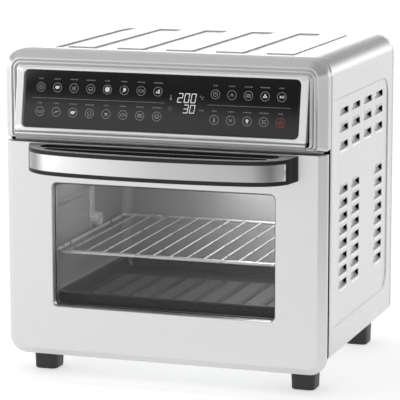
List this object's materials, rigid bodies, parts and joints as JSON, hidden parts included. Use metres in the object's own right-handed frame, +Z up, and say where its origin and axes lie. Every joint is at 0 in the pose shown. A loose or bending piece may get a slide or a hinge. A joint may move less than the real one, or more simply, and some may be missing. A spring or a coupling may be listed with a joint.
{
  "type": "toaster oven",
  "caption": "Countertop toaster oven with a drop-down glass door, bowed handle, leaning touch panel, wire rack, trays, convection fan, heaters and a louvred steel housing.",
  "frame": {"origin": "centre of the bounding box's base, on the surface that the feet stand on", "axes": "+Z up, the door faces -Y, +X to the right seen from the front"},
  "size_m": [0.38, 0.3504, 0.3765],
  "materials": {
    "brushed_steel": "brushed stainless steel with fine horizontal grain",
    "bright_steel": "bright plated steel and aluminised sheet",
    "galvanised_steel": "dull galvanised sheet steel",
    "black_glass": "black printed tempered glass",
    "clear_glass": "clear tempered glass",
    "black_plastic": "matt black heat-resistant plastic",
    "enamel": "black enamelled steel",
    "element_sheath": "oxidised steel sheath",
    "ceramic": "unglazed off-white ceramic",
    "circuit_board": "green circuit board laminate"
  },
  "bodies": {
    "housing": {"outer_shell": "brushed_steel", "back_panel": "galvanised_steel", "bottom_plate": "galvanised_steel", "front_frame": "galvanised_steel", "cavity_liner": "bright_steel", "left_runner": "bright_steel", "right_runner": "bright_steel", "bezel": "brushed_steel", "control_housing": "bright_steel", "control_glass": "black_glass", "display_module": "black_plastic", "control_board": "circuit_board", "upper_element": "element_sheath", "lower_element": "element_sheath", "bushing_upper_front": "ceramic", "bushing_upper_rear": "ceramic", "bushing_lower_front": "ceramic", "bushing_lower_rear": "ceramic", "fan_motor": "galvanised_steel", "motor_bracket": "galvanised_steel", "fan_guard": "bright_steel", "power_board": "circuit_board", "temperature_probe": "bright_steel", "terminal_block": "ceramic", "cord_gland": "black_plastic", "lamp_lens": "clear_glass", "lamp_housing": "galvanised_steel", "lamp_bulb": "clear_glass", "spit_rest": "bright_steel", "spit_motor": "black_plastic", "foot_front_left": "black_plastic", "foot_rear_left": "black_plastic", "foot_front_right": "black_plastic", "foot_rear_right": "black_plastic", "rear_spacer_left": "black_plastic", "rear_spacer_right": "black_plastic", "case_screw_upper_left": "galvanised_steel", "case_screw_lower_left": "galvanised_steel", "case_screw_upper_right": "galvanised_steel", "case_screw_lower_right": "galvanised_steel", "hinge_bracket_left": "galvanised_steel", "hinge_bracket_right": "galvanised_steel"},
    "door": {"door_frame": "brushed_steel", "door_liner": "galvanised_steel", "window_glass": "clear_glass", "handle_grip": "black_plastic", "handle_plate": "brushed_steel", "handle_screw_left": "galvanised_steel", "handle_screw_right": "galvanised_steel", "hinge_pin_left": "bright_steel", "hinge_pin_right": "bright_steel", "door_arm_left": "galvanised_steel", "door_arm_right": "galvanised_steel"},
    "rack": {"wire_rack": "bright_steel"},
    "tray": {"baking_tray": "enamel"},
    "crumb_drawer": {"crumb_tray": "bright_steel"},
    "fan_rotor": {"fan_shaft": "bright_steel", "fan_blade": "galvanised_steel", "cooling_fan": "galvanised_steel"},
    "spit_drive": {"spit_socket": "bright_steel"}
  },
  "joints": [
    {"name": "door_hinge", "type": "hinge", "parent": "housing", "child": "door", "pos_m": [0, -0.11315, 0.031], "axis": [1, 0, 0], "range_deg": [0, 80]},
    {"name": "rack_slide", "type": "slide", "parent": "housing", "child": "rack", "axis": [0, -1, 0], "range_m": [0, 0.14]},
    {"name": "tray_slide", "type": "slide", "parent": "housing", "child": "tray", "axis": [0, -1, 0], "range_m": [0, 0.1]},
    {"name": "crumb_slide", "type": "slide", "parent": "housing", "child": "crumb_drawer", "axis": [0, -1, 0], "range_m": [0, 0.06]},
    {"name": "fan_spin", "type": "hinge", "parent": "housing", "child": "fan_rotor", "pos_m": [0, 0.01285, 0.3], "axis": [0, 0, 1], "continuous": true},
    {"name": "spit_spin", "type": "hinge", "parent": "housing", "child": "spit_drive", "pos_m": [0.14, 0.02585, 0.157], "axis": [1, 0, 0], "continuous": true}
  ],
  "couplings": [
    {"joint": "rack_slide", "follows": "door_hinge", "m_per_rad": 0.1},
    {"joint": "tray_slide", "follows": "door_hinge", "m_per_rad": 0.07},
    {"joint": "crumb_slide", "follows": "door_hinge", "m_per_rad": 0.042}
  ]
}
